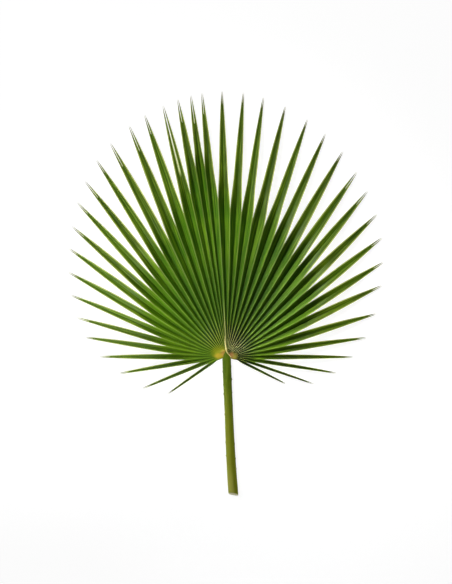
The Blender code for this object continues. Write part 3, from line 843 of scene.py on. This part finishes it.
# Fresh palm petiole: tough green skin over pale fibre, smooth and faintly waxy, greener towards the fan and
# yellower towards the cut, with a painted highlight along its lit left side that grows towards the cut and is
# palest at the cut, paler edges and a long grain
stalk, shader = new_material("waxy_palm_petiole", 0.45, Specular_IOR_Level=0.14)
GRAIN_WIDTH, GRAIN_LENGTH = 10 / 7 * MM, 25 * MM
on_stalk = {
    "place": add_node(stalk, "TexCoord", output="Object"),
    "across": add_node(stalk, "Attribute", {"attribute_name": "across"}, output="Fac"),
}
add_steps(stalk, on_stalk, [
    ("y", "Y", "place"),
    ("down", "SMOOTH", "y", hub.y - 10 * MM, hub.y - 210 * MM),
    ("skin", "COVER", "down", "#425c04", "#90991f"),
    # Painted light: the left side, which faces the lamps, is painted paler, most of all near the cut
    ("band", "SMOOTH", "across", 0.25, -0.35, 0.0, 0.4),
    ("band", "MULTIPLY", "band", "down"),
    ("skin", "COVER", "band", "skin", "#c8c84c"),
    ("foot", "SMOOTH", "y", hub.y - 165 * MM, hub.y - 205 * MM, 0.0, 0.5),
    ("left_part", "SMOOTH", "across", 0.45, 0.0),
    ("foot", "MULTIPLY", "foot", "left_part"),
    ("skin", "COVER", "foot", "skin", "#dcd86c"),
    ("grain_place", "STRETCH", "place", (1 / GRAIN_WIDTH, 1 / GRAIN_LENGTH, 1 / GRAIN_WIDTH)),
    ("grain", "NOISE", "grain_place", 1.0, 3.0),
    ("pale_grain", "SMOOTH", "grain", 0.35, 0.7, 0.0, 0.2),
    ("skin", "COVER", "pale_grain", "skin", "#98a234"),
    ("edge", "ABSOLUTE", "across"),
    ("edge", "SMOOTH", "edge", 0.8, 1.0, 0.0, 0.4),
    ("skin", "COVER", "edge", "skin", "#b4b878"),
])
stalk.node_tree.links.new(on_stalk["skin"], shader.inputs["Base Color"])
grain_relief = {"Height": on_stalk["grain"], "Strength": 0.3, "Distance": 0.1 * MM}
stalk.node_tree.links.new(add_node(stalk, "Bump", {}, grain_relief), shader.inputs["Normal"])
petiole.data.materials.clear()
petiole.data.materials.append(stalk)

# Cut palm stalk: pale moist pith with the darker ends of the fibre bundles in it, about 0.5 mm across and a
# little over 1 mm apart
pith, shader = new_material("cut_palm_pith", 0.6, IOR=1.4)
BUNDLE_PITCH = 10 / 9 * MM
pith_place = add_node(pith, "TexCoord", output="Object")
bundles = {"Vector": pith_place, "Scale": 1 / BUNDLE_PITCH}
on_cut = {"from_bundle": add_node(pith, "TexVoronoi", {}, bundles, "Distance")}
add_steps(pith, on_cut, [
    ("between", "SMOOTH", "from_bundle", 0.12, 0.35),
    ("colour", "COVER", "between", "#c2ba74", "#fdf6c6"),
])
pith.node_tree.links.new(on_cut["colour"], shader.inputs["Base Color"])
petiole.data.materials.append(pith)
for face in petiole.data.polygons:
    if len(face.vertices) == ring_size and face.center.y < hub.y + NECK_Y:
        face.material_index = 1
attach(petiole, "root")
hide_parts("petiole")

# Hastula
# The small papery crest where stalk and fan meet: pale cream, standing on the first fold right of the middle
# and running down round the right side of the stalk's pointed end. It grew there, and its upper edge is
# slightly torn. Each row of CREST has a place on it, seen from above, its half width and its height.
CREST = [
    (-0.0018, 0.0260, 0.00035, 0.0008),
    (-0.0021, 0.0190, 0.00055, 0.0012),
    (-0.0014, 0.0118, 0.00085, 0.0017),
    (-0.0003, 0.0062, 0.00110, 0.0020),
    (0.0009, 0.0010, 0.00060, 0.0017),
    (0.0038, -0.0026, 0.00050, 0.0013),
    (0.0069, -0.0062, 0.00040, 0.0009),
]
CREST_ANGLE = 93.0
CREST_HALF_PLEAT = 2.4
CREST_SINK = 0.0003
CREST_RINGS, CREST_SIDES = 90, 14
CREST_STEP = 0.05
CREST_TOP_SHARE = 0.8
CREST_OVAL_SCALE = 1.35
TEAR_SEED = 7
TORN_HEIGHT = (0.82, 1.0)
CREST_SHARP_EDGE = 60

# The crest follows the height of the fan's line under it
guide = FanLine(CREST_ANGLE, 0.0)
crest_curves = [[(k, row[c]) for k, row in enumerate(CREST)] for c in range(4)]
hastula = ringed_cylinder("hastula_crest", CREST_SIDES, CREST_RINGS)
torn = random.Random(TEAR_SEED)
tears = [torn.uniform(*TORN_HEIGHT) for k in range(CREST_RINGS + 1)]
for v in hastula.data.vertices:
    row = round((v.co.z + 1) / 2 * CREST_RINGS)
    t = (len(CREST) - 1) * row / CREST_RINGS
    x, y, half, tall = (along(curve, t) for curve in crest_curves)
    heading = [along(curve, t + CREST_STEP) - along(curve, t - CREST_STEP) for curve in crest_curves[:2]]
    heading = Vector(heading).normalized()
    aside = Vector((-heading.y, heading.x))
    level = (v.co.y + 1) / 2
    width = half * (1 - (1 - CREST_TOP_SHARE) * level)
    plan = Vector((x, y)) + aside * width * v.co.x * CREST_OVAL_SCALE
    s = max(0.0, (y - guide.foot.y) / guide.run)
    pleat = FOLD_SLOPE * abs(y) * math.tan(math.radians(CREST_HALF_PLEAT)) / 2
    foot_height = guide.height(s) + pleat - CREST_SINK
    v.co = Vector((plan.x, plan.y, foot_height + (tall + 2 * CREST_SINK) * level * tears[row])) + hub
finish_mesh(hastula, CREST_SHARP_EDGE)

# Dried palm tissue: thin, papery, matt and cream, with browner flecks of about 2 mm
paper, shader = new_material("papery_palm_crest", 0.65)
FLECK_SIZE = 2 * MM
on_crest = {"place": add_node(paper, "TexCoord", output="Object")}
add_steps(paper, on_crest, [
    ("fleck", "NOISE", "place", 1 / FLECK_SIZE, 3.0),
    ("plain", "SMOOTH", "fleck", 0.4, 0.65),
    ("colour", "COVER", "plain", "#d2c470", "#efe79a"),
])
paper.node_tree.links.new(on_crest["colour"], shader.inputs["Base Color"])
hastula.data.materials.clear()
hastula.data.materials.append(paper)
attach(hastula, "root")
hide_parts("hastula")

# Table
# A white table, wide enough to fill every view, lit from within so that the leaf's shadow on it is faint.
# It is matt plastic over lamps, and it only carries the leaf.
TABLE_SIZE = 12
TABLE_GLOW = 0.93
deselect_all()
bpy.ops.mesh.primitive_plane_add(size=TABLE_SIZE, location=(0, 0, 0))
table = bpy.context.object
table.name = "table"
light_table, shader = new_material("white_light_table", 0.9, Emission_Strength=TABLE_GLOW)
shader.inputs["Base Color"].default_value = linear("#7c7c7c")
shader.inputs["Emission Color"].default_value = linear("#ffffff")
table.data.materials.append(light_table)

# Studio
# A soft light high up beyond the upper left of the fan, and three weak ones with narrow beams for its right
# side, its left side and the foot of the stalk. The camera looks straight down. Each light has its name,
# place, aim, width, power in watts and beam in degrees.
KEY_PLACE, SIDE_PLACE = (-1.20, 1.28, 1.55), (-1.05, -0.95, 1.20)
LIGHTS = [
    ("key", KEY_PLACE, (0, 0.05, 0), 0.45, 2.1, 60),
    ("right", KEY_PLACE, (0.13, -0.01, 0), 0.35, 0.40, 10.5),
    ("side", SIDE_PLACE, (-0.18, -0.02, 0), 0.35, 0.38, 12.5),
    ("foot", KEY_PLACE, (0.012, -0.265, 0), 0.35, 0.06, 5.5),
]
ROOM_GLOW, BACKDROP_GLOW = 0.045, 0.95

# The photo's centre is measured from the foot of the crest, and its scale holds at the fan's middle height
PHOTO_HEIGHT, METRES_PER_PIXEL = 584, 0.0015
LENS, SENSOR_WIDTH = 135, 36
PHOTO_CENTRE_X, PHOTO_CENTRE_Y = -0.00075, 0.0915
SCALE_HEIGHT = 0.008

for name, place, aim, width, power, beam in LIGHTS:
    softbox = bpy.data.lights.new(name, "AREA")
    softbox.shape = "DISK"
    softbox.size = width
    softbox.energy = power
    softbox.spread = math.radians(beam)
    lamp = bpy.data.objects.new(name, softbox)
    bpy.context.scene.collection.objects.link(lamp)
    lamp.location = place
    lamp.rotation_euler = (Vector(aim) - Vector(place)).to_track_quat("-Z", "Y").to_euler()

# A dim room lights the leaf, and the camera sees a bright backdrop
world = bpy.data.worlds.new("studio")
bpy.context.scene.world = world
world.use_nodes = True
world.node_tree.nodes.remove(world.node_tree.nodes["Background"])
seen = add_node(world, "LightPath", output="Is Camera Ray")
room = add_node(world, "Background", {}, {"Color": "#ffffff", "Strength": ROOM_GLOW})
backdrop = add_node(world, "Background", {}, {"Color": "#ffffff", "Strength": BACKDROP_GLOW})
surround = add_node(world, "MixShader", {}, {0: seen, 1: room, 2: backdrop})
world.node_tree.links.new(surround, world.node_tree.nodes["World Output"].inputs["Surface"])

camera_data = bpy.data.cameras.new("camera")
camera = bpy.data.objects.new("camera", camera_data)
bpy.context.scene.collection.objects.link(camera)
bpy.context.scene.camera = camera
camera_data.lens = LENS
camera_data.sensor_width = SENSOR_WIDTH
camera_height = PHOTO_HEIGHT * METRES_PER_PIXEL * LENS / SENSOR_WIDTH + SCALE_HEIGHT
camera.location = (hub.x + PHOTO_CENTRE_X, hub.y + PHOTO_CENTRE_Y, camera_height)
camera.rotation_euler = (0, 0, 0)
camera_data.clip_start, camera_data.clip_end = 0.1, 50
bpy.context.scene.view_settings.view_transform = "Standard"
